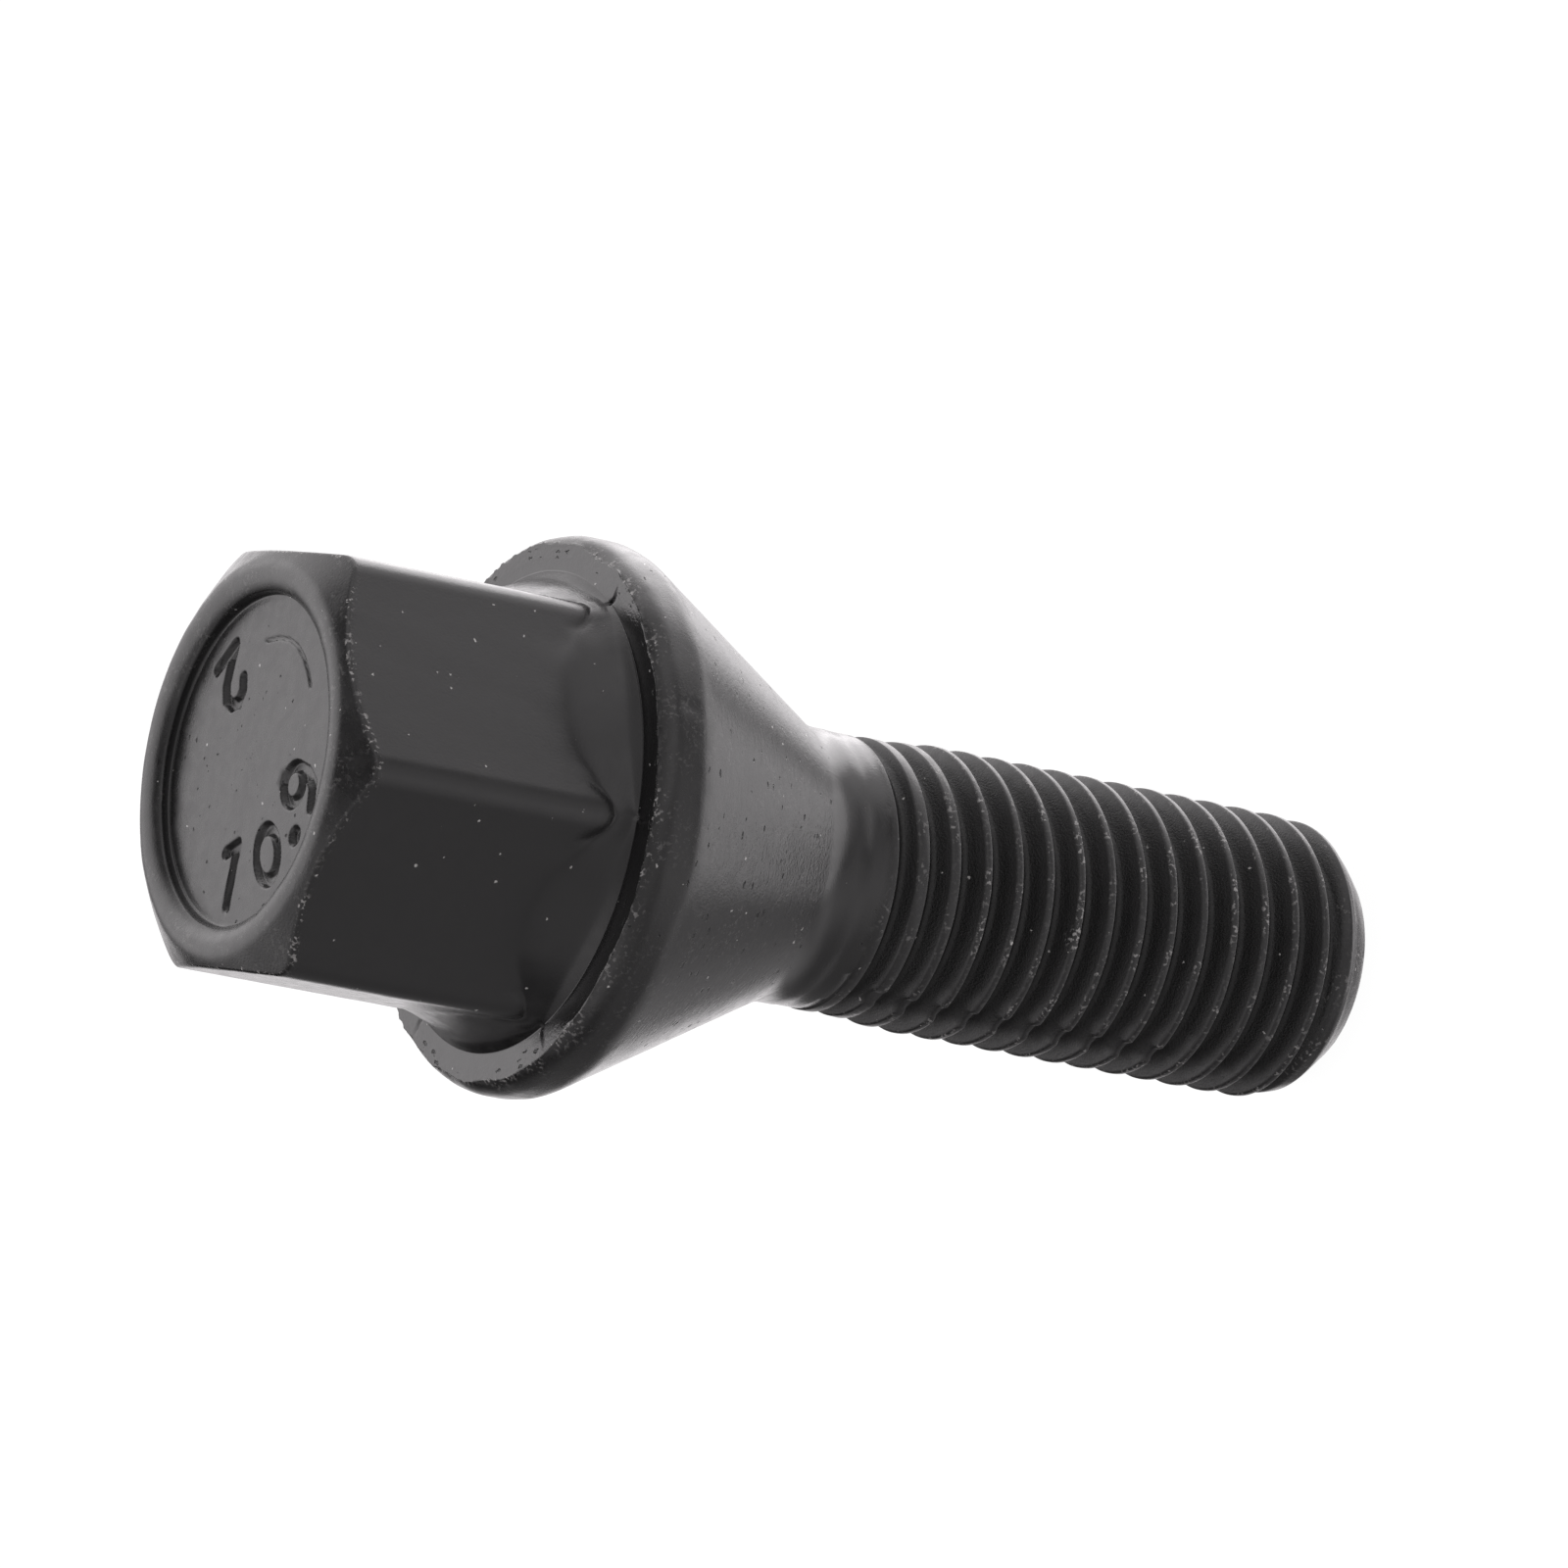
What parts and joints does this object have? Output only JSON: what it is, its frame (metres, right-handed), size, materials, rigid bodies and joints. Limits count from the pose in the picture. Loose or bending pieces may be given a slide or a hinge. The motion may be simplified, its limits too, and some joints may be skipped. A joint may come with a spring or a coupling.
{
  "type": "wheel bolt",
  "caption": "Hexagon-headed wheel bolt with a round dished top, a collar with a conical seat and a fine-pitch threaded shank, for holding a car wheel to its hub.",
  "frame": {"origin": "centre of the thread's end face, which the bolt stands on", "axes": "+Z along the bolt's axis from the thread end towards the head; +X through the middle of one of the hexagon's flats"},
  "size_m": [0.0229, 0.0228, 0.0511],
  "materials": {
    "black_coating": "semi-gloss black coating over forged steel, thin at the edges"
  },
  "bodies": {
    "root": {"wheel_bolt": "black_coating"}
  },
  "joints": []
}
